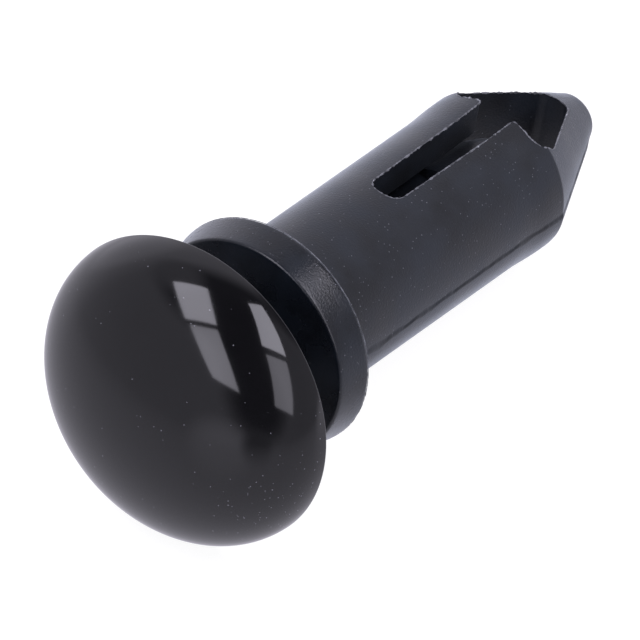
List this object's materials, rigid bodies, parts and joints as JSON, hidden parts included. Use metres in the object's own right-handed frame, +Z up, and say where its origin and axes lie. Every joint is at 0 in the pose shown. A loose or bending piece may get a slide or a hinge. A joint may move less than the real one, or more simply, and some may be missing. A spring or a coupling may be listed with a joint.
{
  "type": "push rivet",
  "caption": "Plastic push rivet lying on its side: a domed plunger stands raised over a flanged sleeve with a slotted shank and a pointed nose, and slides in to lock it in a panel hole.",
  "frame": {"origin": "centre of the lying rivet's footprint box, on the surface that it rests on", "axes": "+Z up, +Y from the head towards the nose as seen from above, +X to the right of that; the rivet's own axis lies in the YZ plane and dips 9.46 degrees below +Y, because the rivet rests on the rim of its head and on its leg ends"},
  "size_m": [0.0096, 0.021, 0.0095],
  "materials": {
    "sleeve_plastic": "satin black nylon",
    "plunger_plastic": "polished black nylon"
  },
  "bodies": {
    "sleeve": {"sleeve": "sleeve_plastic"},
    "plunger": {"plunger": "plunger_plastic"}
  },
  "joints": [
    {"name": "plunger_push", "type": "slide", "parent": "sleeve", "child": "plunger", "axis": [0, 0.9864, -0.1644], "range_m": [0, 0.00253]}
  ]
}
